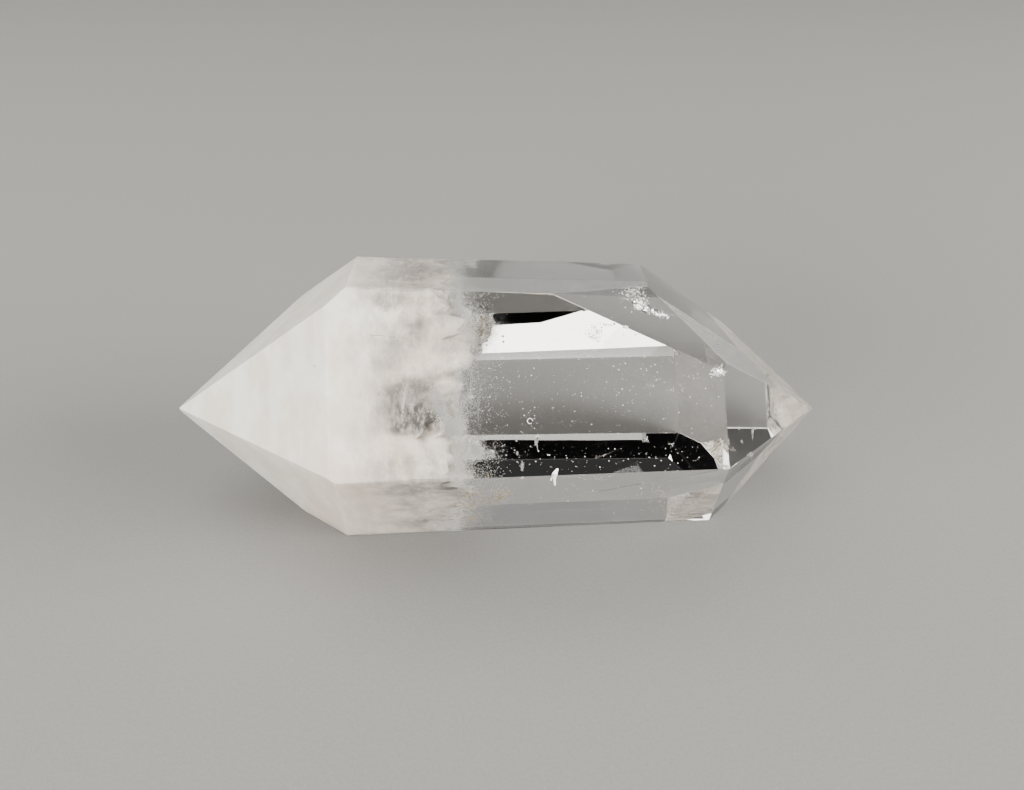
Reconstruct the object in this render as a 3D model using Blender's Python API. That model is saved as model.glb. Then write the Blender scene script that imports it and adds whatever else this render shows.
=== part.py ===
"""Double terminated quartz crystal, polished, lying on one of its long facets.

One solid: six long facets round the axis and a point of faceted cuts at each end,
with the tips worn blunt and a few shell-shaped chips near the right point.
The axis runs along X. The origin is the middle of the bottom of the crystal's box.
"""

from math import cos, radians, sin

import bmesh
import bpy
from mathutils import Matrix, Vector

MM = 0.001

# A facet is a flat cut, given by three driving values:
#   turn   degrees round the axis, from straight to the front (-Y) upwards
#   tilt   degrees of lean towards the right tip (+X)
#   reach  millimetres from the middle of the axis to the cut
AXIS_HEIGHT = 13.9  # the axis above the facet that it lies on
LONG_FACETS = {
    "top": (101.0, 3.5, 21.5),
    "front_upper": (35.0, 0.0, 24.0),
    "front_lower": (-35.5, -0.5, 15.7),
    "bottom": (-90.0, 0.0, AXIS_HEIGHT),
    "back_lower": (-145.5, 2.5, 19.0),
    "back_upper": (148.0, 2.0, 14.1),
}
LEFT_POINT = {
    "top": (101.0, -38.0, 29.6),
    "front_upper": (35.5, -43.0, 32.3),
    "front_lower": (-32.5, -36.5, 25.8),
    "bottom": (-93.5, -47.0, 30.7),
    "back_lower": (-145.5, -46.0, 30.5),
    "back_upper": (156.0, -38.5, 28.1),
}
RIGHT_POINT = {
    "top": (95.5, 40.0, 27.2),
    "bevel": (66.5, 14.5, 27.3),  # the extra cut between the long facets and the point
    "front_upper": (35.5, 50.5, 33.8),
    "front_lower": (-27.5, 40.5, 29.7),
    "bottom": (-105.5, 39.5, 30.0),
    "back_lower": (-146.0, 40.5, 29.9),
    "back_upper": (151.0, 49.5, 33.3),
}

HALF_LENGTH = 45.0  # middle of the axis to a sharp tip
LEFT_TIP_WEAR = 0.8  # what is worn off each sharp tip
RIGHT_TIP_WEAR = 0.4

# A chip is a shallow scoop: its place on the surface and the way it faces, both measured from
# the middle of the axis, then its radius and its depth, in millimetres.
CHIPS = {
    "bevel_shell": ((15.3, -11.3, 21.5), (0.25, -0.39, 0.89), 0.8, 0.25),
    "shoulder_nick": ((17.3, -11.9, 20.7), (0.25, -0.39, 0.89), 0.5, 0.12),
    "upper_corner": ((23.7, -18.1, 16.0), (0.4, -0.6, 0.7), 0.5, 0.15),
    "front_corner": ((23.8, -24.3, 7.2), (0.6, -1.0, 0.1), 0.6, 0.25),
}
CHIP_CURVE = 2.2  # the scoop's ball radius, in chip radii
BALL_DETAIL = 3

STOCK = 60.0  # half the side of the block that the facets are cut from
SEAM = 1e-7  # corners nearer than this, in metres, are one corner
FLATNESS = radians(0.01)


def remove_scene_objects():
    for old in list(bpy.data.objects):
        bpy.data.objects.remove(old, do_unlink=True)


def facet_direction(turn, tilt):
    """Outward normal of a cut at that turn round the axis and lean along it."""
    round_axis, along = radians(turn), radians(tilt)
    return Vector(
        (
            sin(along),
            -cos(along) * cos(round_axis),
            cos(along) * sin(round_axis),
        )
    )


def cut_flat(bm, normal, reach):
    """Cuts off all that lies more than reach millimetres out along normal, and caps the cut."""
    everything = bm.verts[:] + bm.edges[:] + bm.faces[:]
    cut = bmesh.ops.bisect_plane(
        bm,
        geom=everything,
        dist=SEAM,
        plane_co=normal * reach * MM,
        plane_no=normal,
        clear_outer=True,
    )
    rim = [e for e in cut["geom_cut"] if isinstance(e, bmesh.types.BMEdge)]
    if rim:
        bmesh.ops.edgeloop_fill(bm, edges=rim)


def cut_crystal():
    """The faceted body, centred on the middle of its axis."""
    bm = bmesh.new()
    bmesh.ops.create_cube(bm, size=2.0 * STOCK * MM)
    for group in (LONG_FACETS, LEFT_POINT, RIGHT_POINT):
        for turn, tilt, reach in group.values():
            cut_flat(bm, facet_direction(turn, tilt), reach)
    cut_flat(bm, Vector((-1.0, 0.0, 0.0)), HALF_LENGTH - LEFT_TIP_WEAR)
    cut_flat(bm, Vector((1.0, 0.0, 0.0)), HALF_LENGTH - RIGHT_TIP_WEAR)
    bmesh.ops.remove_doubles(bm, verts=bm.verts[:], dist=SEAM)
    bmesh.ops.dissolve_limit(
        bm,
        angle_limit=FLATNESS,
        verts=bm.verts[:],
        edges=bm.edges[:],
    )
    bmesh.ops.recalc_face_normals(bm, faces=bm.faces[:])
    return bm


def chip_cutter(name, place, facing, radius, depth):
    """A ball sunk so far into the surface that it leaves a scoop of that radius and depth."""
    ball_radius = radius * CHIP_CURVE
    out = Vector(facing).normalized()
    centre = (Vector(place) + out * (ball_radius - depth)) * MM
    bm = bmesh.new()
    bmesh.ops.create_icosphere(
        bm,
        subdivisions=BALL_DETAIL,
        radius=ball_radius * MM,
        matrix=Matrix.Translation(centre),
    )
    mesh = bpy.data.meshes.new(name)
    bm.to_mesh(mesh)
    bm.free()
    cutter = bpy.data.objects.new(name, mesh)
    bpy.context.collection.objects.link(cutter)
    cutter.hide_render = True
    cutter.display_type = "WIRE"
    return cutter


def clear_quartz():
    material = bpy.data.materials.new("clear_quartz")
    material.use_nodes = True
    shader = material.node_tree.nodes["Principled BSDF"]
    shader.inputs["Base Color"].default_value = (0.93, 0.92, 0.9, 1.0)
    shader.inputs["Roughness"].default_value = 0.03
    shader.inputs["Metallic"].default_value = 0.0
    shader.inputs["IOR"].default_value = 1.547
    shader.inputs["Transmission Weight"].default_value = 1.0
    return material


def build_crystal():
    bm = cut_crystal()
    corners = [v.co for v in bm.verts]
    low = Vector(min(c[i] for c in corners) for i in range(3))
    high = Vector(max(c[i] for c in corners) for i in range(3))
    to_origin = -Vector(((low.x + high.x) / 2.0, (low.y + high.y) / 2.0, low.z))
    bmesh.ops.translate(bm, vec=to_origin, verts=bm.verts[:])
    mesh = bpy.data.meshes.new("quartz_crystal")
    bm.to_mesh(mesh)
    bm.free()
    crystal = bpy.data.objects.new("quartz_crystal", mesh)
    bpy.context.collection.objects.link(crystal)
    mesh.materials.append(clear_quartz())
    for name, (place, facing, radius, depth) in CHIPS.items():
        cutter = chip_cutter(name, place, facing, radius, depth)
        cutter.location = to_origin
        scoop = crystal.modifiers.new(name, "BOOLEAN")
        scoop.operation = "DIFFERENCE"
        scoop.solver = "EXACT"
        scoop.object = cutter
    return crystal


remove_scene_objects()
build_crystal()
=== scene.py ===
# Double terminated quartz crystal: one clear polished piece, milky towards its left point
from itertools import combinations
from math import cos, radians, sin, tan

import bpy
import numpy as np
from mathutils import Matrix, Vector


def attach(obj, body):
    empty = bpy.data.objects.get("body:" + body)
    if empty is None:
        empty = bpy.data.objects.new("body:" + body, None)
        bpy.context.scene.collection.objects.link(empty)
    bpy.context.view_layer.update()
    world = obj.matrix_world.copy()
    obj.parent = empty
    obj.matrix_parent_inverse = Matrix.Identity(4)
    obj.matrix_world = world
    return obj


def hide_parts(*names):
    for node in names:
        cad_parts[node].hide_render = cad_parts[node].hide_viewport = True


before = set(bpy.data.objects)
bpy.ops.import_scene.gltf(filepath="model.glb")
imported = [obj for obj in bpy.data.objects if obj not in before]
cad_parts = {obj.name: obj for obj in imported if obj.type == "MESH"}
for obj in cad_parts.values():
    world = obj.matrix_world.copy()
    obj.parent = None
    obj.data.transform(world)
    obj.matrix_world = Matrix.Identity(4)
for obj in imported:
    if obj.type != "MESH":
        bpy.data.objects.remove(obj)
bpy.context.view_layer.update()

mm = 0.001
print("frame loaded")


# shared helpers: noise, meshes and shader nodes
def makeNoise(seed, cells=32):
    # random values on a cubic lattice that repeats, blended smoothly in between
    lattice = np.random.default_rng(seed).random((cells, cells, cells))

    def noise(points):
        base = np.floor(points).astype(int)
        part = points - base
        part = part * part * (3.0 - 2.0 * part)
        total = np.zeros(len(points))
        for corner in np.ndindex(2, 2, 2):
            step = np.array(corner)
            share = np.where(step == 1, part, 1.0 - part).prod(axis=1)
            at = (base + step) % cells
            total += share * lattice[at[:, 0], at[:, 1], at[:, 2]]
        return total

    return noise


def fractal(noise, points, size, octaves=4):
    # layers of noise, each half as large and half as strong as the one before, scaled to 0..1
    total, strength, weight = np.zeros(len(points)), 1.0, 0.0
    for octave in range(octaves):
        total += strength * noise(points / size * 2.0**octave + 7.3 * octave)
        weight += strength
        strength *= 0.5
    return total / weight


def smoothStep(low, high, value):
    t = np.clip((value - low) / (high - low), 0.0, 1.0)
    return t * t * (3.0 - 2.0 * t)


def meshFrom(name, points, faces, smooth=False):
    # points as an array of rows, faces as one array of rows of equal length
    mesh = bpy.data.meshes.new(name)
    faces = np.asarray(faces, dtype=np.int32)
    sides = faces.shape[1]
    mesh.vertices.add(len(points))
    mesh.vertices.foreach_set("co", np.asarray(points, dtype=np.float32).ravel())
    mesh.loops.add(faces.size)
    mesh.loops.foreach_set("vertex_index", faces.ravel())
    mesh.polygons.add(len(faces))
    mesh.polygons.foreach_set("loop_start", np.arange(len(faces), dtype=np.int32) * sides)
    mesh.polygons.foreach_set("use_smooth", np.full(len(faces), smooth))
    mesh.update(calc_edges=True)
    mesh.validate()
    return mesh


def acrossAxes(normal):
    # two directions across the normal; any slanted start will do
    sideways = np.cross(normal, (0.31, 0.57, 0.76))
    sideways /= np.linalg.norm(sideways)
    return sideways, np.cross(normal, sideways)


def ringWalls(start, rings, sides):
    # the walls between neighbouring rings; corner k of ring j is start + j * sides + k
    around = np.arange(sides)
    rows = start + np.arange(rings - 1)[:, None] * sides
    a, b = rows + around, rows + np.roll(around, -1)
    return np.stack([a, b, b + sides, a + sides], axis=-1).reshape(-1, 4)


def addObject(name, data):
    thing = bpy.data.objects.new(name, data)
    bpy.context.collection.objects.link(thing)
    return thing


def addPiece(name, mesh, material):
    piece = addObject(name, mesh)
    mesh.materials.append(material)
    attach(piece, "root")
    return piece


def shader(name):
    # a new material, its nodes and links, places on the object, and its body
    material = bpy.data.materials.new(name)
    material.use_nodes = True
    nodes, links = material.node_tree.nodes, material.node_tree.links
    place = nodes.new("ShaderNodeTexCoord").outputs["Object"]
    return material, nodes, links, place, nodes["Principled BSDF"]


def setSockets(node, values):
    for name, value in values.items():
        node.inputs[name].default_value = value


def colourRamp(nodes, stops):
    ramp = nodes.new("ShaderNodeValToRGB")
    band = ramp.color_ramp
    while len(band.elements) < len(stops):
        band.elements.new(0.5)
    for element, (at, colour) in zip(band.elements, stops):
        element.position, element.color = at, colour
    return ramp


def times(colour, share):
    return tuple(min(1.0, v * share) for v in colour[:3]) + (1.0,)


def paint(nodes, links, pattern, stops, body):
    # the pattern's value picks the body's colour from the stops
    ramp = colourRamp(nodes, stops)
    links.new(pattern, ramp.inputs["Fac"])
    links.new(ramp.outputs["Color"], body.inputs["Base Color"])


def noiseNode(nodes, links, place, scale, detail, rough, stretch=(1.0, 1.0, 1.0)):
    squeeze = nodes.new("ShaderNodeMapping")
    setSockets(squeeze, {"Scale": stretch})
    noise = nodes.new("ShaderNodeTexNoise")
    setSockets(noise, {"Scale": scale, "Detail": detail, "Roughness": rough})
    links.new(place, squeeze.inputs["Vector"])
    links.new(squeeze.outputs["Vector"], noise.inputs["Vector"])
    return noise.outputs["Fac"]


def blend(nodes, links, share, first, second):
    # a colour mixed by a share; first and second are sockets or plain colours
    mix = nodes.new("ShaderNodeMix")
    mix.data_type = "RGBA"
    links.new(share, mix.inputs["Factor"])
    for name, value in (("A", first), ("B", second)):
        socket = next(i for i in mix.inputs if i.name == name and i.type == "RGBA")
        if isinstance(value, tuple):
            socket.default_value = value
        else:
            links.new(value, socket)
    return next(o for o in mix.outputs if o.type == "RGBA")


def mapRange(nodes, links, value, fromMin, fromMax, toMin=0.0, toMax=1.0):
    spread = nodes.new("ShaderNodeMapRange")
    setSockets(spread, {"From Min": fromMin, "From Max": fromMax, "To Min": toMin, "To Max": toMax})
    links.new(value, spread.inputs["Value"])
    return spread.outputs["Result"]


def mathNode(nodes, links, operation, first, second):
    node = nodes.new("ShaderNodeMath")
    node.operation = operation
    links.new(first, node.inputs[0])
    links.new(second, node.inputs[1])
    return node.outputs["Value"]


def addBump(nodes, links, height, strength, depth, body):
    # depth in mm
    bump = nodes.new("ShaderNodeBump")
    setSockets(bump, {"Strength": strength, "Distance": depth * mm})
    links.new(height, bump.inputs["Height"])
    links.new(bump.outputs["Normal"], body.inputs["Normal"])


def smoothLine(knots, count, rounds):
    # a line of so many points through the knots; each round moves every inner point to
    # (the one before + 2 * itself + the one after) / 4
    t = np.linspace(0.0, len(knots) - 1.0, count)
    line = np.stack([np.interp(t, np.arange(len(knots)), knots[:, k]) for k in range(3)], axis=1)
    for _ in range(rounds):
        line[1:-1] = (line[:-2] + 2.0 * line[1:-1] + line[2:]) / 4.0
    return line


def threadMesh(line, widths, flatten, normal, sides=6):
    # a thread along a line: ring = place + width * (cos * side + flatten * sin * normal), closed ends
    ahead = np.gradient(line, axis=0)
    ahead /= np.linalg.norm(ahead, axis=1)[:, None] + 1e-12
    side = np.cross(ahead, normal)
    side /= np.linalg.norm(side, axis=1)[:, None] + 1e-12
    turn = np.linspace(0.0, 2.0 * np.pi, sides, endpoint=False)
    wide = (widths * mm / 2.0)[:, None, None]
    sideways = np.cos(turn)[None, :, None] * side[:, None, :]
    ring = line[:, None, :] + wide * (sideways + flatten * np.sin(turn)[None, :, None] * normal)
    points = np.vstack([ring.reshape(-1, 3), line[0], line[-1]])
    around = np.arange(sides)
    following = np.roll(around, -1)
    walls = ringWalls(0, len(line), sides)
    first, last = sides * len(line), sides * (len(line) - 1)
    ends = np.stack([np.full(sides, first), following, around], -1)
    farEnds = np.stack([np.full(sides, first + 1), last + around, last + following], -1)
    return points, np.vstack([walls[:, :3], walls[:, [0, 2, 3]], ends, farEnds])


# camera: where the photo was taken from, a wide lens close to the crystal
camera = {
    "aim": (-0.2, 1.84, 13.9),  # the middle of the crystal's axis, mm
    "distance": 125.0,  # mm
    "elevation": 33.0,  # degrees above the floor
    "azimuth": -4.34,  # degrees round from straight ahead
    "fieldOfView": 60.0,  # degrees across the image
    "besideAim": (-5.47, 14.37),  # the aim's place from the image centre, in pixels, right and up
    "imageSize": (1024, 790),
    "pixelsPerMm": 7.8,  # on the crystal's front facets
}


def cameraFrame(c):
    # the camera's place and its right, up and back directions, and its focal length in pixels
    turn, lift = radians(c["azimuth"]), radians(c["elevation"])
    back = Vector((sin(turn) * cos(lift), -cos(turn) * cos(lift), sin(lift)))
    right = Vector((cos(turn), sin(turn), 0.0))
    up = back.cross(right)
    focal = c["imageSize"][0] / 2.0 / tan(radians(c["fieldOfView"] / 2.0))
    perPixel = c["distance"] / focal
    besideX, besideY = c["besideAim"]
    spot = Vector(c["aim"]) + back * c["distance"] + (up * besideY - right * besideX) * perPixel
    return spot * mm, right, up, back, focal


def placeCamera(c):
    spot, right, up, back, focal = cameraFrame(c)
    data = bpy.data.cameras.new("camera")
    data.sensor_width = 36.0
    data.lens = data.sensor_width * focal / c["imageSize"][0]
    data.clip_start = 5.0 * mm
    holder = addObject("camera", data)
    holder.matrix_world = Matrix((right, up, back)).transposed().to_4x4()
    holder.location = spot
    bpy.context.scene.camera = holder


placeCamera(camera)
print("camera placed")


# the crystal's facets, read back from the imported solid
def readFacets(node, smallest=0.1 * mm * mm):
    # triangles in one plane are one facet; a facet of the convex body has all corners behind it
    mesh = node.data
    mesh.calc_loop_triangles()
    corners = np.empty(len(mesh.loop_triangles) * 3, dtype=np.int32)
    mesh.loop_triangles.foreach_get("vertices", corners)
    points = np.empty(len(mesh.vertices) * 3, dtype=np.float32)
    mesh.vertices.foreach_get("co", points)
    points = points.reshape(-1, 3).astype(float)
    tri = points[corners.reshape(-1, 3)]
    cross = np.cross(tri[:, 1] - tri[:, 0], tri[:, 2] - tri[:, 0])
    size = np.linalg.norm(cross, axis=1)
    whole = size > 1e-12
    tri, cross, size = tri[whole], cross[whole], size[whole]
    normal = cross / size[:, None]
    reach = (normal * tri[:, 0]).sum(axis=1)
    facets = []
    for i in np.argsort(-size):
        behind = (points @ normal[i]).max() < reach[i] + 0.01 * mm
        same = [f for f in facets if f[0] @ normal[i] > 0.99995 and abs(f[1] - reach[i]) < 0.02 * mm]
        if behind and not same and size[i] / 2.0 > smallest:
            facets.append((normal[i], reach[i]))
    return np.array([f[0] for f in facets]), np.array([f[1] for f in facets])


def facetCorners(normals, reaches):
    # three facets meet in a point; it is a corner if no other facet cuts it off
    trios = np.array(list(combinations(range(len(normals)), 3)))
    a, b = normals[trios], reaches[trios]
    real = np.abs(np.linalg.det(a)) > 1e-3
    found = np.linalg.solve(a[real], b[real][..., None])[..., 0]
    found = found[(found @ normals.T <= reaches + 1e-3 * mm).all(axis=1)]
    apart = np.linalg.norm(found[:, None] - found[None], axis=2)
    points = found[np.unique((apart < 0.01 * mm).argmax(axis=1))]  # the first of each that coincide
    faces = []
    for n, r in zip(normals, reaches):
        on = np.flatnonzero(np.abs(points @ n - r) < 0.01 * mm)
        if len(on) < 3:
            continue
        middle = points[on].mean(axis=0)
        sideways, upwards = acrossAxes(n)
        away = points[on] - middle
        faces.append(list(on[np.argsort(np.arctan2(away @ upwards, away @ sideways))]))
    return points, faces


facetNormals, facetReaches = readFacets(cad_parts["quartz_crystal"])
print("facets found:", len(facetNormals))


# clear quartz
crystalLook = {
    "edgeWear": 0.1,  # mm, how wide the sharp edges are rounded
    "ior": 1.547,
    "tint": (0.985, 0.98, 0.97, 1.0),
    "polishWave": 0.04,  # strength of the slight waves that hand polishing leaves
    "waves": (90.0, 1.0, 0.5),  # their noise: scale, detail and roughness
    "scuffs": 0.035,  # roughness of the faint rubbed patches
    "rubs": (260.0, 6.0, 0.7),  # their noise
}


def seenInside(pixels, under):
    # photo pixels to places in the crystal: the view ray bends where it goes in, then runs on for
    # so many mm; with less than 0 the place is above the surface
    spot, right, up, back, focal = cameraFrame(camera)
    right, up, back, spot = (np.array(v) for v in (right, up, back, spot))
    pixels = np.atleast_2d(np.asarray(pixels, dtype=float))
    across = (pixels[:, 0] - camera["imageSize"][0] / 2.0) / focal
    above = (camera["imageSize"][1] / 2.0 - pixels[:, 1]) / focal
    ray = across[:, None] * right + above[:, None] * up - back
    ray /= np.linalg.norm(ray, axis=1)[:, None]
    towards = ray @ facetNormals.T
    run = np.where(towards < 0.0, (facetReaches - spot @ facetNormals.T) / towards, -1.0)
    normal = facetNormals[run.argmax(axis=1)]
    straight = -(ray * normal).sum(axis=1) / crystalLook["ior"]
    along = np.sqrt(1.0 - 1.0 / crystalLook["ior"] ** 2 + straight**2)
    bent = ray / crystalLook["ior"] + (straight - along)[:, None] * normal
    return spot + ray * run.max(axis=1)[:, None] + bent * np.reshape(under, (-1, 1)) * mm


def nearestNormal(place):
    return facetNormals[np.argmin(np.abs(facetReaches - facetNormals @ place))]


def viewAxes():
    _, right, up, back, _ = cameraFrame(camera)
    return np.array(right), np.array(up), np.array(back)


def clearQuartz(c):
    # see-through, with slight waves left by the polish and faint rubbed patches
    material, nodes, links, place, body = shader("clearQuartz")
    setSockets(body, {"Base Color": c["tint"], "IOR": c["ior"], "Transmission Weight": 1.0})
    wave = noiseNode(nodes, links, place, *c["waves"])
    addBump(nodes, links, wave, c["polishWave"], 0.1, body)
    rub = noiseNode(nodes, links, place, *c["rubs"])
    rubbed = mapRange(nodes, links, rub, 0.56, 0.72, 0.0, c["scuffs"])
    links.new(rubbed, body.inputs["Roughness"])
    return material


# chips: shell-shaped scoops struck off the edges near the right point
chipLook = {
    "grid": 36,  # points along each side of a scoop
    "ripples": 3.0,  # rings in each shell
    "rippleDepth": 0.14,  # as a share of the scoop's depth
    "chips": {  # photo pixel, radius and depth in mm, turn in degrees
        "shell": ((641, 306), 0.95, 0.2, 20.0),
        "shellBeside": ((649, 309), 0.6, 0.14, 70.0),
        "shoulder": ((660, 314), 0.75, 0.14, 110.0),
        "shoulderEnd": ((666, 316), 0.4, 0.12, 160.0),
        "edgeNick": ((626, 327), 0.25, 0.1, 0.0),
        "upperCorner": ((722, 371), 0.5, 0.16, 200.0),
        "frontCorner": ((728, 467), 0.55, 0.22, 250.0),
        "lowerEdge": ((752, 455), 0.4, 0.14, 300.0),
    },
}


def scoop(name, c, place, normal, radius, depth, turned, noise):
    # a lump like a rippled lens: height = depth * (1 - r^2) + rings * cos(r) + noise over a round
    # grid, closed above by a flat lid well clear of the surface
    n = c["grid"]
    t = np.linspace(0.0, 1.0, n // 2)[1:, None]
    turn = np.linspace(0.0, 2.0 * np.pi, n, endpoint=False)[None, :] + np.radians(turned)
    spread = radius * 1.25
    flat = np.stack([t * np.cos(turn), t * np.sin(turn), 0 * t * turn], -1).reshape(-1, 3)
    rough = fractal(noise, flat * 3.0 + turned, 1.0, 3).reshape(t.size, n) - 0.5
    outline = 1.0 + 0.22 * np.cos(2.0 * turn + 0.7) + 0.1 * np.cos(5.0 * turn + turned)
    ring = np.cos(c["ripples"] * 2.0 * np.pi * t * (1.0 + 0.2 * np.cos(turn)))
    low = depth * ((t * 1.25) ** 2 - 1.0 - c["rippleDepth"] * ring * (1.0 - t) + 0.5 * rough)
    low = np.where(t > 0.98, depth * 3.0, low)
    sideways, upwards = acrossAxes(normal)
    x = spread * t * outline * np.cos(turn)
    y = spread * t * outline * np.sin(turn)
    grid = place + mm * (x[..., None] * sideways + y[..., None] * upwards + low[..., None] * normal)
    bottom = place - mm * depth * (1.0 + c["rippleDepth"]) * normal
    top = place + mm * depth * 3.0 * normal
    points = np.vstack([bottom, grid.reshape(-1, 3), top])
    around = np.arange(n)
    following = np.roll(around, -1)
    walls = ringWalls(1, t.size, n)
    rim = 1 + (t.size - 1) * n
    floorFan = np.stack([np.zeros(n, int), 1 + following, 1 + around], -1)
    lidFan = np.stack([np.full(n, len(points) - 1), rim + around, rim + following], -1)
    faces = np.vstack([walls[:, [0, 2, 1]], walls[:, [0, 3, 2]], floorFan, lidFan])
    return addObject(name, meshFrom(name, points, faces))


def makeCrystal(c, chips):
    points, faces = facetCorners(facetNormals, facetReaches)
    mesh = bpy.data.meshes.new("crystal")
    mesh.from_pydata(points.tolist(), [], faces)
    mesh.update()
    piece = addObject("rough_crystal", mesh)
    wear = piece.modifiers.new("edge wear", "BEVEL")
    wear.width = c["edgeWear"] * mm
    wear.segments = 2
    wear.limit_method = "ANGLE"
    wear.angle_limit = radians(2.0)
    noise = makeNoise(5)
    cutters = []
    for name, (pixel, radius, depth, turned) in chips["chips"].items():
        place = seenInside(pixel, 0.0)[0]
        gaps = facetReaches - facetNormals @ place
        nearest = np.argsort(gaps)[:2]
        normal = facetNormals[nearest].mean(axis=0)
        if gaps[nearest[1]] > radius * mm:
            normal = facetNormals[nearest[0]]
        normal = normal / np.linalg.norm(normal)
        cutter = scoop(name, chips, place, normal, radius, depth, turned, noise)
        chip = piece.modifiers.new(name, "BOOLEAN")
        chip.operation = "DIFFERENCE"
        chip.object = cutter
        cutters.append(cutter)
    graph = bpy.context.evaluated_depsgraph_get()
    cut = bpy.data.meshes.new_from_object(piece.evaluated_get(graph))
    for spare in cutters + [piece]:
        bpy.data.objects.remove(spare)
    cut.materials.clear()
    crystal = addPiece("crystal", cut, clearQuartz(c))
    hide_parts("quartz_crystal")
    return crystal


crystal = makeCrystal(crystalLook, chipLook)
print("crystal made:", len(crystal.data.polygons), "faces")


# milky zone
milkyLook = {
    "depth": 0.12,  # mm below the polished surface
    "endsAt": -9.4,  # X in mm, where the solid white gives way to wisps
    "lumps": 2.6,  # mm that its end reaches out where the noise is strongest
    "lumpSizes": (8.0, 1.4),  # mm, of the broad and the fine lumps
    "lumpShares": (2.0, 1.9),
    "lean": (-0.045, 0.075),  # the end's lean, mm of X for each mm of Y and of Z
    "grid": 0.425,  # mm between mesh points
    "thinsFrom": -21.0,  # X in mm, where pockets of clear quartz begin
    "pocketDepth": 1.6,  # mm
    "pocketSize": 3.6,  # mm
    "softDepth": 0.6,  # mm, of the broad hollows
    "softSize": 4.5,  # mm
    "softPaintedShade": 0.75,  # how dark the painted shade in them is
    "softFades": (-12.5, -10.0),  # X in mm, where their painted shade fades away
    "groundFades": (0.5, 6.0),  # mm above the floor, where pockets begin
    "raggedOver": 6.0,  # mm of its length that the ragged end reaches back
    "windowDeep": 6.0,  # mm, how deep a window or a tongue reaches
    "biteSize": 1.1,  # mm, of the bites in their rims
    "sharpFrom": 28.0,  # degrees between faces, from which an edge is drawn sharp
    "axis": (1.84, 13.9),  # mm, where the crystal's axis runs, in Y and Z
    "windows": {  # clear pockets: photo pixel, half sizes and depth in mm, tilt, how dark the painted shade in them is
        "dark": ((454, 297), (0.9, 1.3), 3.0, 0, 0.0),
        "square": ((388, 298), (2.0, 1.4), 0.4, 0, 0.5),
        "fibrous": ((411, 418), (2.9, 2.6), 1.0, 20, 1.0),
        "fibrousTop": ((400, 397), (2.4, 2.6), 0.4, -10, 0.75),
        "beside": ((456, 399), (1.2, 3.2), 3.0, -12, 0.6),
        "ragged": ((432, 372), (1.8, 0.7), 0.8, 15, 0.5),
        "brown": ((451, 464), (0.6, 1.5), 1.2, 8, 0.5),
        "topGrey": ((418, 271), (2.6, 0.8), 0.3, 0, 0.4),
        "low": ((404, 490), (3.2, 1.2), 0.4, 0, 0.42),
        "lowRight": ((447, 512), (0.8, 1.4), 1.6, 0, 0.0),
    },
    "tongues": {  # where the milk's end reaches further: photo pixel, half sizes and length in mm
        "cream": ((450, 330), (2.4, 2.6), 0.7),
        "foot": ((452, 455), (2.0, 1.6), 0.9),
        "notch": ((458, 507), (2.8, 2.4), -1.0),
        "bay": ((458, 395), (2.2, 3.4), -1.2),
    },
    "white": (0.975, 0.95, 0.885, 1.0),
    # the cream and rose are partly the milk's own tint and partly painted shade: made darker than the
    # white so the milk beyond the point looks less lit
    "cream": (0.87, 0.81, 0.73, 1.0),
    "rose": (0.875, 0.795, 0.715, 1.0),
    "toneFrom": (-27.0, -9.0),  # X in mm, where white turns rose and then cream
    "toneRoams": 9.0,  # mm that noise moves those places
    "toneLean": 0.5,  # mm along the crystal for each mm above the middle
    "toneMiddle": 14.0,  # mm above the floor
    "shade": (0.73, 0.66, 0.585, 1.0),  # of the darker clouds
    "shadeStrength": 0.6,
    "band": (0.985, 0.96, 0.92, 1.0),  # of the growth bands
    "bandStrength": 0.7,
    "thin": (0.13, 0.126, 0.118, 1.0),  # painted shade in the clear pockets and hollows, broken into fibres
    "mottle": (0.4, 0.382, 0.355, 1.0),
    "mottleFrom": (-22.0, -13.0),  # X in mm, where the fine mottling sets in
    "mottleStrength": 0.85,
    "glowDepth": 2.5,  # mm that light wanders through the milk
    "patterns": {  # noise: scale, detail, roughness and how far it is squeezed along X, Y and Z
        "clouds": (110.0, 8.0, 0.66, (1.3, 0.9, 0.9)),
        "shades": (210.0, 8.0, 0.62, (1.0, 0.7, 0.7)),
        "bands": (160.0, 5.0, 0.6, (4.0, 0.5, 0.5)),
        "fibres": (760.0, 8.0, 0.78, (1.5, 0.55, 0.55)),
        "flecks": (330.0, 9.0, 0.74, (1.0, 0.8, 0.8)),
        "grain": (1400.0, 3.0, 0.5),
    },
}


def fanSurface(points, faces, spacing):
    # each flat face becomes a fan of rings: ring t lies at middle + t * (rim - middle),
    # and neighbours share their rim points, so the whole skin closes
    allPoints, allFaces, start = [], [], 0
    for face in faces:
        ring = points[face]
        following = np.roll(ring, -1, axis=0)
        rim = []
        for a, b in zip(ring, following):
            count = max(1, int(round(np.linalg.norm(b - a) / spacing)))
            share = np.arange(count)[:, None] / count
            rim.append(a + (b - a) * share)
        rim = np.concatenate(rim)
        middle = ring.mean(axis=0)
        widest = np.linalg.norm(rim - middle, axis=1).max()
        rings = max(2, int(round(widest / spacing)))
        t = (np.arange(1, rings + 1) / rings)[:, None, None]
        grid = (middle + t * (rim - middle)).reshape(-1, 3)
        around = np.arange(len(rim))
        nextOne = np.roll(around, -1)
        quads = ringWalls(start + 1, rings, len(rim))
        tips = np.stack([np.full(len(rim), start), start + 1 + around, start + 1 + nextOne], axis=-1)
        allPoints += [middle[None, :], grid]
        allFaces += [np.concatenate([quads[:, [0, 3, 2]], quads[:, [0, 2, 1]]])[:, ::-1], tips]
        start += 1 + len(grid)
    return np.concatenate(allPoints), np.concatenate(allFaces)


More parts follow.
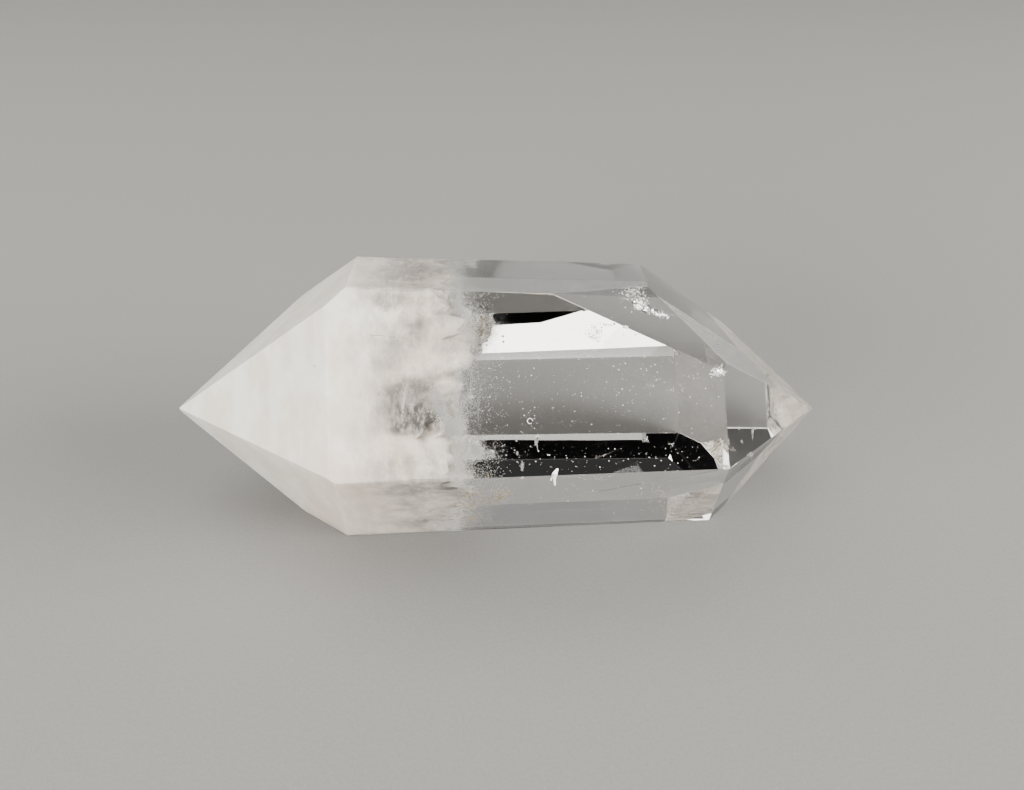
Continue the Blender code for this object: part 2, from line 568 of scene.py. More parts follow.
def mergePoints(points, faces, nearer):
    # points at one place become one, and triangles that lose a side go
    keys = np.round(points / nearer).astype(np.int64)
    _, first, which = np.unique(keys, axis=0, return_index=True, return_inverse=True)
    which = which.reshape(-1)
    faces = which[faces]
    whole = (faces[:, 0] != faces[:, 1]) & (faces[:, 1] != faces[:, 2]) & (faces[:, 2] != faces[:, 0])
    return points[first], faces[whole]


def milkyQuartz(c):
    # white at the point, rosy beyond it and cream at its end (the rose and cream partly painted shade),
    # with darker clouds, fine growth bands across the crystal, fine mottling towards its end and fibrous
    # grey painted into the thin pockets and hollows as painted shade
    material, nodes, links, place, body = shader("milkyQuartz")
    setSockets(body, {"IOR": 1.3, "Subsurface Weight": 1.0, "Subsurface Scale": c["glowDepth"] * mm,
                      "Subsurface Radius": (1.0, 0.95, 0.9)})
    patterns = c["patterns"]
    clouds = noiseNode(nodes, links, place, *patterns["clouds"])
    along = nodes.new("ShaderNodeVectorMath")
    along.operation = "DOT_PRODUCT"
    along.inputs[1].default_value = (1.0, 0.0, -c["toneLean"])
    links.new(place, along.inputs[0])
    roam = c["toneRoams"] * mm / 2.0
    roaming = mapRange(nodes, links, clouds, 0.3, 0.7, -roam, roam)
    level = mathNode(nodes, links, "ADD", along.outputs["Value"], roaming)
    shift = c["toneLean"] * c["toneMiddle"]
    low, high = c["toneFrom"]
    # white to rose to cream along the crystal; the darker rose and cream are partly painted shade
    tone = colourRamp(nodes, [(0.05, c["white"]), (0.2, c["rose"]), (0.55, c["rose"]), (1.0, c["cream"])])
    links.new(mapRange(nodes, links, level, (low - shift) * mm, (high - shift) * mm), tone.inputs["Fac"])
    shades = noiseNode(nodes, links, place, *patterns["shades"])
    shaded = mapRange(nodes, links, shades, 0.6, 0.4, 0.0, c["shadeStrength"])
    bands = noiseNode(nodes, links, place, *patterns["bands"])
    banded = mapRange(nodes, links, bands, 0.5, 0.72, 0.0, c["bandStrength"])
    # painted shade: the thin attribute darkens the clear pockets and hollows with the thin colour, broken
    # into fibres
    pockets = nodes.new("ShaderNodeAttribute")
    pockets.attribute_name = "thin"
    fibres = noiseNode(nodes, links, place, *patterns["fibres"])
    fibrous = mapRange(nodes, links, fibres, 0.36, 0.54, 0.1, 1.0)
    thin = mathNode(nodes, links, "MULTIPLY", pockets.outputs["Fac"], fibrous)
    flecks = noiseNode(nodes, links, place, *patterns["flecks"])
    flecked = mapRange(nodes, links, flecks, 0.43, 0.62, 0.0, c["mottleStrength"])
    parts = nodes.new("ShaderNodeSeparateXYZ")
    links.new(place, parts.inputs["Vector"])
    start, full = c["mottleFrom"]
    settled = mapRange(nodes, links, parts.outputs["X"], start * mm, full * mm)
    mottled = mathNode(nodes, links, "MULTIPLY", flecked, settled)
    grain = noiseNode(nodes, links, place, *patterns["grain"])
    addBump(nodes, links, grain, 0.25, 0.08, body)
    milk = blend(nodes, links, shaded, tone.outputs["Color"], c["shade"])
    milk = blend(nodes, links, banded, milk, c["band"])
    milk = blend(nodes, links, mottled, milk, c["mottle"])
    # the painted shade of the pockets and hollows is mixed into the milk here
    milk = blend(nodes, links, thin, milk, c["thin"])
    links.new(milk, body.inputs["Base Color"])
    links.new(mapRange(nodes, links, clouds, 0.0, 1.0, 0.45, 0.8), body.inputs["Roughness"])
    return material


def raggedEnd(c, points):
    # where the milk ends along X, for places across the crystal: level + lean + lumps of noise
    flat = points * (0.0, 1.0, 1.0)
    middle = np.array(c["axis"]) * mm
    (broadSize, fineSize), (broadShare, fineShare) = c["lumpSizes"], c["lumpShares"]
    broad = fractal(endNoise, flat, broadSize * mm, 3) - 0.5
    fine = fractal(endNoise, flat + 0.013, fineSize * mm, 4) - 0.5
    lean = (points[:, 1:] - middle) @ np.array(c["lean"])
    return c["endsAt"] * mm + lean + (broadShare * broad + fineShare * fine) * c["lumps"] * mm


endNoise = makeNoise(13)


def nearPixel(points, pixel, sizes, tilt, ragged):
    # a bell round the place that a photo pixel shows: exp(-(along^2 + across^2) * ragged^2 - deep^2)
    right, up, back = viewAxes()
    away = (points - seenInside(pixel, 0.0)[0]) / mm
    cosT, sinT = cos(radians(tilt)), sin(radians(tilt))
    along = away @ (right * cosT + up * sinT) / sizes[0]
    across = away @ (up * cosT - right * sinT) / sizes[1]
    deep = away @ back / milkyLook["windowDeep"]
    return np.exp(-(along**2 + across**2) * ragged**2 - deep**2)


def makeMilkyZone(c):
    # the crystal's own left part a little smaller; towards its end the skin sinks towards the axis:
    # radius - soft hollows - pockets where noise is high - the named windows
    normals = np.vstack([facetNormals, (1.0, 0.0, 0.0)])
    reaches = np.append(facetReaches - c["depth"] * mm, c["endsAt"] * mm)
    points, faces = facetCorners(normals, reaches)
    points, faces = fanSurface(points, faces, c["grid"] * mm)
    points, faces = mergePoints(points, faces, 1e-6)
    pocketNoise, softNoise, biteNoise = makeNoise(11), makeNoise(12), makeNoise(14)
    thin = smoothStep(c["thinsFrom"] * mm, c["endsAt"] * mm, points[:, 0])
    low, high = c["groundFades"]
    thin *= smoothStep(low * mm, high * mm, points[:, 2])
    stretched = points * (1.0, 0.55, 0.55)
    pockets = smoothStep(0.55, 0.74, fractal(pocketNoise, stretched, c["pocketSize"] * mm, 5))
    soft = fractal(softNoise, points, c["softSize"] * mm, 4)
    sink = thin * (c["pocketDepth"] * pockets + c["softDepth"] * soft)
    ragged = 0.5 + fractal(biteNoise, points * (0.7, 1.5, 1.5), c["biteSize"] * mm, 4)
    low, high = c["softFades"]
    fades = 1.0 - smoothStep(low * mm, high * mm, points[:, 0])
    # painted shade: the soft hollows and the named windows get a dark share, stored as the thin attribute
    paintedShade = c["softPaintedShade"] * thin * smoothStep(0.42, 0.62, soft) * fades
    for pixel, sizes, depth, tilt, dark in c["windows"].values():
        near = nearPixel(points, pixel, sizes, tilt, ragged)
        sink += depth * near * ragged
        paintedShade = np.maximum(paintedShade, dark * smoothStep(0.08, 0.75, near))
    reach = raggedEnd(c, points) - c["endsAt"] * mm
    for pixel, sizes, length in c["tongues"].values():
        reach += length * mm * nearPixel(points, pixel, sizes, 0.0, ragged)
    middle = np.array(c["axis"]) * mm
    outwards = points[:, 1:] - middle
    radius = np.linalg.norm(outwards, axis=1)[:, None]
    inwards = np.minimum(sink[:, None] * mm, 0.6 * radius)
    points[:, 1:] -= outwards / np.maximum(radius, 1e-9) * inwards
    nearEnd = smoothStep((c["endsAt"] - c["raggedOver"]) * mm, c["endsAt"] * mm, points[:, 0])
    points[:, 0] += nearEnd * reach
    mesh = meshFrom("milky_zone", points, faces, smooth=True)
    mesh.set_sharp_from_angle(angle=radians(c["sharpFrom"]))
    # the painted shade goes out as the thin attribute
    mesh.attributes.new("thin", "FLOAT", "POINT").data.foreach_set("value", paintedShade)
    return addPiece("milky_zone", mesh, milkyQuartz(c))


milkyZone = makeMilkyZone(milkyLook)
print("milky zone made:", len(milkyZone.data.polygons), "faces")


# wisps: the milk breaks up into flakes, sheets and streaks towards the clear half
flakeCorners = np.array([(1.0, 1.0, 1.0), (1.0, -1.0, -1.0), (-1.0, 1.0, -1.0), (-1.0, -1.0, 1.0)])
flakeFaces = np.array([(0, 1, 2), (0, 3, 1), (0, 2, 3), (1, 3, 2)])


def flakeMesh(name, places, sizes, random, flatTo=None, flatness=0.15):
    # each flake is a closed four-cornered chip turned at random;
    # with flatTo it is pressed thin along its sheet's normal
    q = random.normal(size=(len(places), 4))
    w, x, y, z = (q / np.linalg.norm(q, axis=1)[:, None]).T
    turn = np.stack([1 - 2 * (y * y + z * z), 2 * (x * y - z * w), 2 * (x * z + y * w),
                     2 * (x * y + z * w), 1 - 2 * (x * x + z * z), 2 * (y * z - x * w),
                     2 * (x * z - y * w), 2 * (y * z + x * w), 1 - 2 * (x * x + y * y)], axis=-1)
    turn = turn.reshape(-1, 3, 3)
    off = np.einsum("nij,kj->nki", turn, flakeCorners) * (sizes * mm / 2.0)[:, None, None]
    if flatTo is not None:
        along = (off * flatTo[:, None, :]).sum(axis=2, keepdims=True)
        off -= (1.0 - flatness) * along * flatTo[:, None, :]
    points = (places[:, None, :] + off).reshape(-1, 3)
    faces = (flakeFaces[None] + 4 * np.arange(len(places))[:, None, None]).reshape(-1, 3)
    return meshFrom(name, points, faces)


def insideCrystal(points, margin):
    return (points @ facetNormals.T < facetReaches - margin * mm).all(axis=1)


def scatterBy(density, count, low, high, margin, random):
    # random places in a box, kept as often as the density there says
    kept, found = [], 0
    while found < count:
        tries = random.uniform(low, high, (2 * count, 3)) * mm
        tries = tries[insideCrystal(tries, margin)]
        tries = tries[random.random(len(tries)) < density(tries)]
        kept.append(tries)
        found += len(tries)
    return np.concatenate(kept)[:count]


def whiteFlakes(name, colour, spread, glow=0.0):
    # crushed white quartz, each bit a little lighter or darker than the next
    material, nodes, links, place, body = shader(name)
    setSockets(body, {"Roughness": 0.5, "IOR": 1.3})
    if glow:
        setSockets(body, {"Subsurface Weight": 1.0, "Subsurface Scale": glow * mm,
                          "Subsurface Radius": (1.0, 1.0, 1.0)})
    bits = noiseNode(nodes, links, place, 900.0, 3.0, 0.5)
    stops = [(0.3, times(colour, 1.0 - spread)), (0.65, colour)]
    paint(nodes, links, bits, stops, body)
    return material


wispLook = {
    "haze": {  # fine flakes that thin out beyond the milk's ragged end
        "flakes": 46000,
        "pieces": 2,
        "box": ((-16.0, -23.0, 0.0), (0.0, 23.0, 40.0)),  # mm, its low and high corners
        "size": (0.03, 0.075),  # mm
        "reach": 0.95,  # mm beyond the end before most are gone
        "start": -0.1,  # mm before the end
        "puffs": 2.6,  # mm, their size
        "streaks": 1.0,  # mm, their width
    },
    "sheets": {  # wavy veils across the crystal
        "flakes": 30000,
        "size": (0.03, 0.08),
        "wobble": 2.6,  # mm
        "waves": 7.0,  # mm, their length
        "gaps": 4.0,  # mm, the size of the gaps in a sheet
        "apart": 9.0,  # mm between the sheets' patterns
        "middle": 14.0,  # mm above the floor
        "across": (-24.0, 24.0),  # mm
        "height": (0.0, 40.0),
        "tries": 14,  # places tried for each flake that is wanted
        "planes": [  # where each crosses the axis, mm, its leans in degrees, its share of the flakes
            (-10.2, -9, 4, 0.8), (-9.4, -4, 8, 1.0), (-8.7, -8, 6, 1.0), (-8.0, -3, 3, 0.6)],
    },
    "white": (0.99, 0.985, 0.97, 1.0),
}


def makeHaze(c):
    puffNoise, streakNoise = makeNoise(22), makeNoise(23)

    def density(p):
        # falls off as exp(-distance beyond the end), broken up by puffs and by streaks across the axis
        beyond = (p[:, 0] - raggedEnd(milkyLook, p)) / mm
        puffs = fractal(puffNoise, p, c["puffs"] * mm, 5)
        streaks = fractal(streakNoise, p * (1.0, 0.25, 0.25), c["streaks"] * mm, 3)
        broken = smoothStep(0.45, 0.62, 0.6 * puffs + 0.4 * streaks)
        near = np.where(beyond < c["start"], 0.0, np.exp(-np.maximum(beyond, 0.0) / c["reach"]))
        return near * (0.02 + 0.98 * broken)

    for part in range(c["pieces"]):
        random = np.random.default_rng(31 + part)
        places = scatterBy(density, c["flakes"], *c["box"], 0.12, random)
        sizes = random.uniform(*c["size"], len(places))
        mesh = flakeMesh("milky_haze_%d" % (part + 1), places, sizes, random)
        addPiece(mesh.name, mesh, whiteMilk)


def makeSheets(c):
    # each sheet is a wavy surface across the axis, covered with flat flakes where a mask is high
    random = np.random.default_rng(41)
    waveNoise, maskNoise = makeNoise(42), makeNoise(43)
    allPlaces, allNormals = [], []
    shares = np.array([p[3] for p in c["planes"]])
    for i, (crossing, leanY, leanZ, share) in enumerate(c["planes"]):
        wanted = int(c["flakes"] * share / shares.sum())
        slopeY, slopeZ = np.tan(radians(leanY)), np.tan(radians(leanZ))
        tries = c["tries"] * wanted
        y, z = random.uniform(*c["across"], tries), random.uniform(*c["height"], tries)
        flat = np.stack([np.full_like(y, c["apart"] * i), y, z], axis=1) * mm
        wave = c["wobble"] * 2.0 * (fractal(waveNoise, flat, c["waves"] * mm, 4) - 0.5)
        x = crossing + slopeY * y + slopeZ * (z - c["middle"]) + wave
        places = np.stack([x, y, z], axis=1) * mm
        mask = smoothStep(0.5, 0.64, fractal(maskNoise, flat * (1.0, 1.0, 0.5), c["gaps"] * mm, 5))
        near = insideCrystal(places, 0.12) & (random.random(len(places)) < mask)
        places = places[near][:wanted]
        allPlaces.append(places)
        normal = np.array((1.0, -slopeY, -slopeZ))
        allNormals.append(np.tile(normal / np.linalg.norm(normal), (len(places), 1)))
    places, normals = np.concatenate(allPlaces), np.concatenate(allNormals)
    sizes = random.uniform(*c["size"], len(places))
    mesh = flakeMesh("milky_sheets", places, sizes, random, normals)
    addPiece("milky_sheets", mesh, whiteMilk)
    return len(places)


whiteMilk = whiteFlakes("whiteMilk", wispLook["white"], 0.1, 0.5)
makeHaze(wispLook["haze"])
print("haze made")
print("sheets made:", makeSheets(wispLook["sheets"]), "flakes")


# single clouds and streaks, each placed where the photo shows it
cloudLook = {
    "size": (0.03, 0.085),
    "clouds": {  # photo pixel, mm under the surface, half sizes in mm (along, up, deep), tilt, flakes
        "topWisp": ((457, 264), 0.6, (0.9, 0.5, 0.3), 10, 2200),
        "topWispEnd": ((471, 263), 0.5, (0.7, 0.4, 0.25), -15, 1700),
        "cornerBlob": ((453, 294), 0.8, (0.6, 0.7, 0.4), 0, 2200),
        "cornerCurve": ((459, 303), 0.8, (0.25, 1.5, 0.3), 12, 1500),
        "creamFront": ((459, 332), 1.0, (0.9, 2.8, 0.7), 4, 5200),
        "innerStreak": ((384, 282), 0.5, (0.2, 3.0, 0.5), 0, 1100),
        "raggedOne": ((415, 372), 1.5, (2.6, 0.35, 0.8), 18, 900),
        "raggedTwo": ((425, 384), 2.0, (2.4, 0.3, 0.8), 24, 800),
        "raggedThree": ((408, 392), 1.2, (2.0, 0.3, 0.6), 12, 700),
        "raggedFour": ((432, 396), 2.4, (1.6, 0.4, 0.8), 50, 700),
        "narrowLight": ((404, 400), 0.6, (0.16, 1.1, 0.4), -8, 500),
        "broadLight": ((439, 406), 0.5, (0.7, 2.4, 0.4), 20, 3800),
        "lowBlob": ((457, 427), 0.9, (1.0, 0.8, 0.5), 0, 2600),
        "lowBlobBeside": ((447, 435), 1.8, (0.9, 0.5, 0.8), 0, 900),
        "arcOne": ((439, 458), 1.0, (0.25, 1.5, 0.5), 5, 900),
        "arcTwo": ((456, 462), 1.2, (0.3, 1.9, 0.5), 14, 1100),
        "brightKnot": ((476, 451), 1.4, (0.7, 0.8, 0.5), 0, 2400),
        "softSpot": ((522, 466), 2.2, (0.14, 0.4, 0.2), 0, 240),
        "lowStreak": ((443, 526), 0.5, (0.3, 0.8, 0.4), 0, 400),
        "lowMilk": ((446, 505), 2.0, (1.2, 2.0, 1.2), 0, 1500),
    },
}


def bellPlaces(pixel, under, halfSizes, tilt, count, random):
    # places seen round a photo pixel, spread as a bell: pixel + turned normal numbers * half size,
    # and so far under the surface
    spots = random.normal(size=(count, 3)) * 0.6 * np.array(halfSizes)
    cosT, sinT = cos(radians(tilt)), sin(radians(tilt))
    across = spots[:, 0] * cosT - spots[:, 1] * sinT
    above = spots[:, 0] * sinT + spots[:, 1] * cosT
    pixels = np.array(pixel) + camera["pixelsPerMm"] * np.stack([across, -above], axis=1)
    return seenInside(pixels, np.abs(under + spots[:, 2]))


def makeClouds(c):
    # a cloud is a bell-shaped heap of flakes, bitten by noise
    random = np.random.default_rng(51)
    bite = makeNoise(52)
    allPlaces = []
    for pixel, under, halfSizes, tilt, flakes in c["clouds"].values():
        tries = bellPlaces(pixel, under, halfSizes, tilt, 3 * flakes, random)
        ragged = smoothStep(0.4, 0.6, fractal(bite, tries, 0.9 * mm, 3))
        tries = tries[insideCrystal(tries, 0.1) & (random.random(len(tries)) < 0.25 + 0.75 * ragged)]
        allPlaces.append(tries[:flakes])
    places = np.concatenate(allPlaces)
    mesh = flakeMesh("milky_clouds", places, random.uniform(*c["size"], len(places)), random)
    addPiece("milky_clouds", mesh, whiteMilk)
    return len(places)


print("clouds made:", makeClouds(cloudLook), "flakes")


# grains of sand-coloured mineral under the lower front facet, and gold flecks along the top edge
grainLook = {
    "sand": (0.46, 0.375, 0.25, 1.0),
    "gold": (0.75, 0.56, 0.24, 1.0),
    "patches": {  # photo pixel, mm under, half sizes in mm (along, up, deep), tilt, grains, size in mm
        "main": ((467, 507), 0.5, (2.7, 1.5, 0.3), 0, 150, (0.3, 0.9)),
        "upper": ((465, 493), 0.5, (2.4, 0.8, 0.3), 0, 50, (0.25, 0.8)),
        "arm": ((500, 497), 0.5, (1.9, 0.6, 0.3), 24, 75, (0.3, 0.9)),
        "low": ((470, 519), 0.4, (1.3, 0.5, 0.3), 0, 40, (0.25, 0.8)),
        "lone": ((531, 504), 0.4, (0.5, 0.1, 0.1), 30, 8, (0.3, 0.6)),
        "right": ((656, 496), 0.4, (2.4, 1.9, 0.4), 0, 80, (0.15, 0.5)),
        "rightLow": ((664, 508), 0.4, (1.2, 0.6, 0.4), 0, 30, (0.15, 0.45)),
    },
    "flecks": {
        "edgeOne": ((565, 261), 0.3, (0.3, 0.1, 0.15), 0, 9, (0.1, 0.25)),
        "edgeTwo": ((600, 262), 0.3, (0.35, 0.1, 0.15), 0, 8, (0.1, 0.22)),
        "edgeThree": ((536, 260), 0.3, (0.2, 0.1, 0.1), 0, 4, (0.08, 0.18)),
        "ridge": ((541, 294), 0.2, (1.3, 0.08, 0.1), -2, 26, (0.06, 0.13)),
    },
}


def stoneGrain(name, colour):
    material, nodes, links, place, body = shader(name)
    setSockets(body, {"Roughness": 0.45, "IOR": 1.45})
    bits = nodes.new("ShaderNodeTexVoronoi")
    setSockets(bits, {"Scale": 2500.0})
    links.new(place, bits.inputs["Vector"])
    stops = [(0.0, times(colour, 0.55)), (0.45, colour), (1.0, times(colour, 1.25))]
    paint(nodes, links, bits.outputs["Color"], stops, body)
    return material


def lumpMesh(name, places, sizes, random, flat=1.0):
    # each grain is a twelve-cornered ball pulled out of round: corner * (1 +- noise) * size
    golden = (1.0 + 5.0**0.5) / 2.0
    ball = np.array([(s, t * golden, 0.0) for s in (-1, 1) for t in (-1, 1)])
    ball = np.vstack([ball, ball[:, [2, 0, 1]], ball[:, [1, 2, 0]]]) / np.hypot(1.0, golden)
    trios = np.array(list(combinations(range(12), 3)))
    corner = ball[trios]
    edge = np.linalg.norm(corner - np.roll(corner, 1, axis=1), axis=2)
    trios = trios[(edge < edge.min() * 1.01).all(axis=1)]
    corner = ball[trios]
    facing = np.cross(corner[:, 1] - corner[:, 0], corner[:, 2] - corner[:, 0])
    outward = (facing * corner[:, 0]).sum(axis=1) > 0.0
    trios = np.where(outward[:, None], trios, trios[:, ::-1])
    stretch = random.uniform(0.55, 1.0, (len(places), 1, 3)) * (1.0, 1.0, flat)
    lumpy = random.uniform(0.75, 1.1, (len(places), 12, 1))
    points = places[:, None, :] + ball[None] * stretch * lumpy * (sizes * mm / 2.0)[:, None, None]
    faces = (trios[None] + 12 * np.arange(len(places))[:, None, None]).reshape(-1, 3)
    return meshFrom(name, points.reshape(-1, 3), faces)


def scatterPatches(patches, random):
    allPlaces, allSizes = [], []
    for pixel, under, halfSizes, tilt, count, size in patches.values():
        places = bellPlaces(pixel, under, halfSizes, tilt, 6 * count, random)
        places = places[insideCrystal(places, size[1] / 2.0)][:count]
        allPlaces.append(places)
        allSizes.append(size[0] + (size[1] - size[0]) * random.random(len(places)) ** 2)
    return np.concatenate(allPlaces), np.concatenate(allSizes)


def makeGrains(c):
    random = np.random.default_rng(61)
    for name, patches, colour in (("sand_grains", "patches", "sand"), ("gold_flecks", "flecks", "gold")):
        places, sizes = scatterPatches(c[patches], random)
        mesh = lumpMesh(name, places, sizes, random)
        addPiece(name, mesh, stoneGrain(name, c[colour]))
        print(name, "made:", len(places))


makeGrains(grainLook)


# cracks, drawn as dark threads of painted shade, and bruises
crackLook = {
    "steps": 24,  # points along each crack
    "thick": 0.05,  # mm
    # painted shade: the cracks' dark grey stands in for the shade in their air gaps
    "dark": (0.34, 0.32, 0.3, 1.0),
    "cracks": {  # photo pixels along the crack, mm under the surface, width in mm
        "curved": ([(441, 340), (447, 337.5), (453, 336.5), (460, 333)], 0.07, 0.3),
        "hair": ([(366, 334), (374, 335.5), (381, 335), (386, 337)], 0.09, 0.07),
        "hairEnd": ([(388, 336), (393, 337.5), (397, 336.5)], 0.09, 0.06),
        "window": ([(447, 303), (449, 297), (453, 292)], 0.4, 0.26),
        "shortOne": ([(408, 334), (416, 333), (421, 334)], 0.09, 0.06),
        "shortTwo": ([(398, 416), (401, 411), (408, 407), (412, 405)], 0.3, 0.09),
        "shortThree": ([(404, 422), (410, 419), (413, 416), (419, 414)], 0.35, 0.1),
        "shortFour": ([(462, 458), (466, 465), (465, 473)], 0.8, 0.3),
    },
}


def makeCracks(c):
    # a crack is a flat thread along a curve through its points, width * sin(pi t), dark grey as painted
    # shade
    allPoints, allFaces, start = [], [], 0
    _, _, back = viewAxes()
    swell = np.sin(np.pi * np.linspace(0.02, 0.98, c["steps"]))
    for pixels, under, width in c["cracks"].values():
        line = smoothLine(seenInside(pixels, under), c["steps"], 1)
        points, faces = threadMesh(line, width * swell, c["thick"] / width, back)
        allPoints.append(points)
        allFaces.append(faces + start)
        start += len(points)
    mesh = meshFrom("cracks", np.concatenate(allPoints), np.concatenate(allFaces))
    # painted shade: the threads take the dark colour
    addPiece("cracks", mesh, whiteFlakes("crackShade", c["dark"], 0.4))


makeCracks(crackLook)
print("cracks made")

bruiseLook = {  # crushed white spots at the surface
    "white": (0.95, 0.94, 0.92, 1.0),
    "spots": {  # photo pixel, mm under, half sizes in mm (along, up, deep), tilt, flakes, size in mm
        "bevelBruise": ((633, 292), 0.12, (1.5, 0.9, 0.08), 20, 230, (0.04, 0.13)),
        "bevelBruiseLow": ((641, 303), 0.12, (1.0, 0.5, 0.08), 50, 130, (0.04, 0.14)),
        "shoulderRim": ((660, 314), 0.1, (1.2, 0.14, 0.06), -5, 90, (0.04, 0.11)),
        "upperCorner": ((718, 372), 0.15, (0.7, 0.6, 0.1), 0, 150, (0.05, 0.15)),
        "frontCorner": ((727, 467), 0.15, (0.35, 0.2, 0.1), 0, 70, (0.05, 0.14)),
        "lowerEdge": ((751, 455), 0.15, (0.3, 0.25, 0.1), 40, 60, (0.05, 0.14)),
        "edgeNick": ((626, 327), 0.12, (0.2, 0.12, 0.08), 0, 40, (0.05, 0.12)),
        "leftOne": ((400, 278), 0.15, (0.18, 0.12, 0.05), 0, 26, (0.06, 0.14)),
        "leftTwo": ((390, 281), 0.15, (0.14, 0.1, 0.05), 0, 18, (0.06, 0.12)),
        "leftThree": ((356, 348), 0.1, (0.12, 0.12, 0.03), 0, 16, (0.06, 0.12)),
        "leftFour": ((377, 325), 0.1, (0.12, 0.1, 0.03), 0, 14, (0.05, 0.12)),
        "pointOne": ((308, 356), 0.1, (0.16, 0.3, 0.03), 10, 34, (0.05, 0.13)),
        "pointTwo": ((314, 366), 0.1, (0.25, 0.14, 0.03), 0, 26, (0.05, 0.12)),
        "pointThree": ((318, 380), 0.1, (0.12, 0.12, 0.03), 0, 14, (0.05, 0.12)),
        "pointFour": ((283, 374), 0.1, (0.1, 0.2, 0.03), 0, 14, (0.05, 0.12)),
        "pointFive": ((283, 395), 0.1, (0.1, 0.2, 0.03), 0, 14, (0.05, 0.12)),
        "star": ((471, 397), 0.3, (0.28, 0.2, 0.1), 0, 30, (0.05, 0.13)),
        "topEdge": ((475, 260), 0.2, (0.6, 0.12, 0.1), 0, 60, (0.05, 0.14)),
    },
}


def makeBruises(c):
    random = np.random.default_rng(71)
    places, sizes = scatterPatches(c["spots"], random)
    mesh = flakeMesh("bruises", places, sizes * 1.3, random)
    addPiece("bruises", mesh, whiteFlakes("crushedWhite", c["white"], 0.15))
    return len(places)


print("bruises made:", makeBruises(bruiseLook), "flakes")


# dust on the surface, with a bit of lint and a curled fibre
dustLook = {
    "colour": (0.97, 0.965, 0.955, 1.0),
    "count": 900,
    "size": (0.05, 0.2),  # mm
    "fields": [  # photo pixels: left, top, right, bottom, and the share of the dust
        (455, 356, 720, 434, 0.6), (480, 446, 700, 472, 0.16), (340, 290, 470, 470, 0.12),
        (470, 482, 670, 515, 0.08), (560, 262, 690, 330, 0.04)],
    "lint": [(551, 480), (553.5, 473), (557.5, 468.5), (556, 474), (554.5, 478), (555, 485)],
    "lintWidth": 0.4,
    "above": 0.05,  # mm, how far the lint lies above the surface
    "steps": 30,  # points along the lint and the curl
    "lintColour": (0.97, 0.97, 0.96, 1.0),
    "curl": ((530, 421), 0.3),  # photo pixel and radius in mm
    "curlWidth": 0.04,
    "curlAbove": 0.03,
}


def makeDust(c):
    random = np.random.default_rng(81)
    pixels = []
    for left, top, right, bottom, share in c["fields"]:
        pixels.append(random.uniform((left, top), (right, bottom), (int(c["count"] * share), 2)))
    sizes = c["size"][0] + (c["size"][1] - c["size"][0]) * random.random(sum(map(len, pixels))) ** 3
    places = seenInside(np.concatenate(pixels), 0.0)
    landed = insideCrystal(places, -0.1)
    places, sizes = places[landed], sizes[landed]
    dust = whiteFlakes("dust", c["colour"], 0.3)
    addPiece("dust", lumpMesh("dust", places, sizes, random, 0.6), dust)
    knots = seenInside(c["lint"], -c["above"])
    line = smoothLine(knots, c["steps"], 2)
    widths = c["lintWidth"] * (0.35 + 0.65 * np.sin(np.pi * np.linspace(0.05, 0.95, c["steps"])))
    points, faces = threadMesh(line, widths, 0.5, nearestNormal(knots[0]))
    pixel, radius = c["curl"]
    right, up, _ = viewAxes()
    middle = seenInside(pixel, -c["curlAbove"])[0]
    normal = nearestNormal(middle)
    turn = np.linspace(0.0, 1.7 * np.pi, c["steps"])[:, None]
    flatUp = up - (up @ normal) * normal
    curl = middle + radius * mm * (np.cos(turn) * right + np.sin(turn) * flatUp / np.linalg.norm(flatUp))
    more, moreFaces = threadMesh(curl, np.full(c["steps"], c["curlWidth"]), 1.0, normal)
    mesh = meshFrom("lint", np.vstack([points, more]), np.vstack([faces, moreFaces + len(points)]))
    addPiece("lint", mesh, whiteFlakes("lint", c["lintColour"], 0.08))


makeDust(dustLook)
print("dust made")


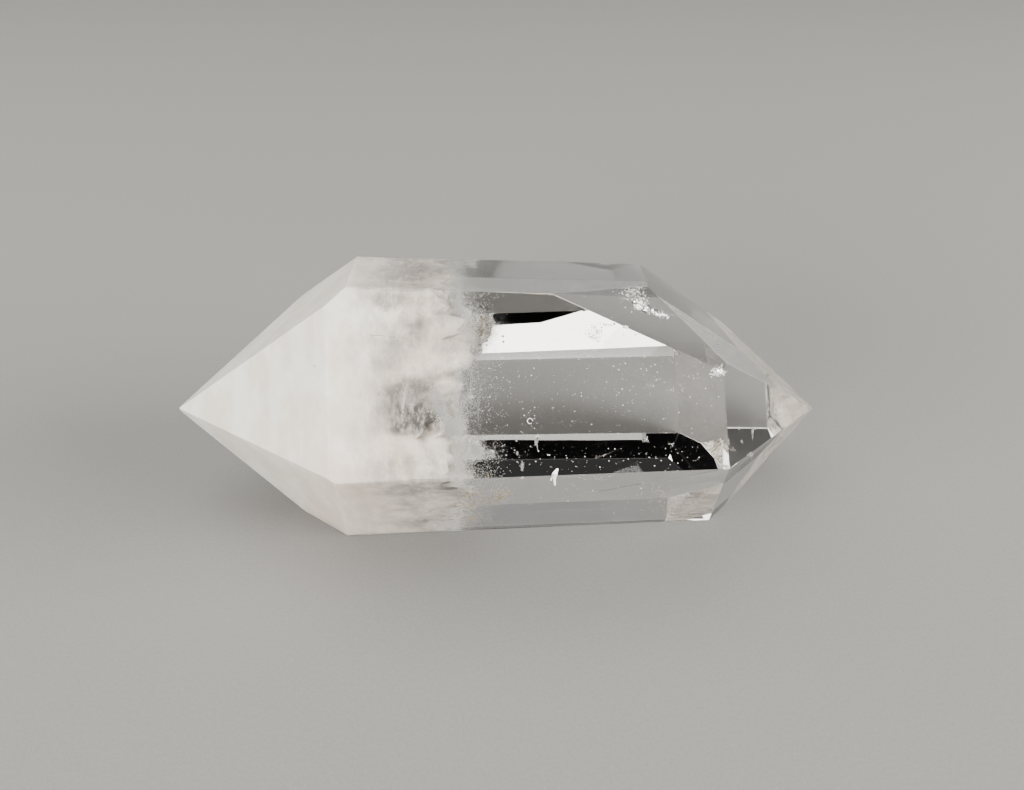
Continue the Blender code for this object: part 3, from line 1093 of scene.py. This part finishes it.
# floor, lights and sky
studio = {
    "floorColour": (0.126, 0.1235, 0.119, 1.0),
    "floorGrain": (2600.0, 4.0, 0.7),  # noise: scale, detail and roughness
    "floorGap": 0.03,  # mm of air between the resting facet and the floor
    "floorSide": 0.85,  # metres
    "sky": [(0.0, 0.4), (0.2, 0.34), (0.4, 0.28), (0.5, 0.12), (0.57, 0.035), (0.67, 0.035),
            (0.8, 0.75)],  # height as the sine of the elevation, and brightness
    "skyTint": (1.0, 0.992, 0.98),
    "lamps": {  # place and size in metres, power in watts
        "top": ((-0.28, 0.06, 0.86), (0.95, 1.35), 20.0),
        "left": ((-0.78, -0.78, 0.26), (1.0, 0.5), 58.0),
        "right": ((0.95, -0.4, 0.4), (0.7, 0.5), 46.0),
    },
    "lampColour": (1.0, 0.975, 0.93),
}


def makeFloor(c):
    side, level = c["floorSide"], -c["floorGap"] * mm
    corners = [(-side, -side, level), (side, -side, level), (side, side, level), (-side, side, level)]
    mesh = meshFrom("floor", corners, [(0, 1, 2, 3)])
    material, nodes, links, place, body = shader("paleFloor")
    setSockets(body, {"Roughness": 0.95})
    grain = noiseNode(nodes, links, place, *c["floorGrain"])
    stops = [(0.3, times(c["floorColour"], 0.9)), (0.7, times(c["floorColour"], 1.08))]
    paint(nodes, links, grain, stops, body)
    addBump(nodes, links, grain, 0.35, 0.05, body)
    floor = addObject("floor", mesh)
    mesh.materials.append(material)


def makeSky(c):
    # pale round the horizon, dark higher up and bright overhead, for the facets to mirror
    world = bpy.data.worlds.new("sky")
    bpy.context.scene.world = world
    world.use_nodes = True
    nodes, links = world.node_tree.nodes, world.node_tree.links
    place = nodes.new("ShaderNodeTexCoord")
    parts = nodes.new("ShaderNodeSeparateXYZ")
    shade = colourRamp(nodes, [(at, times(c["skyTint"], bright)) for at, bright in c["sky"]])
    links.new(place.outputs["Generated"], parts.inputs["Vector"])
    links.new(parts.outputs["Z"], shade.inputs["Fac"])
    links.new(shade.outputs["Color"], nodes["Background"].inputs["Color"])


def makeLamps(c):
    for name, (spot, size, power) in c["lamps"].items():
        lamp = bpy.data.lights.new(name, "AREA")
        lamp.shape = "RECTANGLE"
        lamp.size, lamp.size_y = size
        lamp.energy = power
        lamp.color = c["lampColour"]
        holder = addObject(name, lamp)
        holder.visible_camera = False
        holder.location = spot
        holder.rotation_euler = (-Vector(spot)).to_track_quat("-Z", "Y").to_euler()


makeFloor(studio)
makeSky(studio)
makeLamps(studio)
print("studio made")
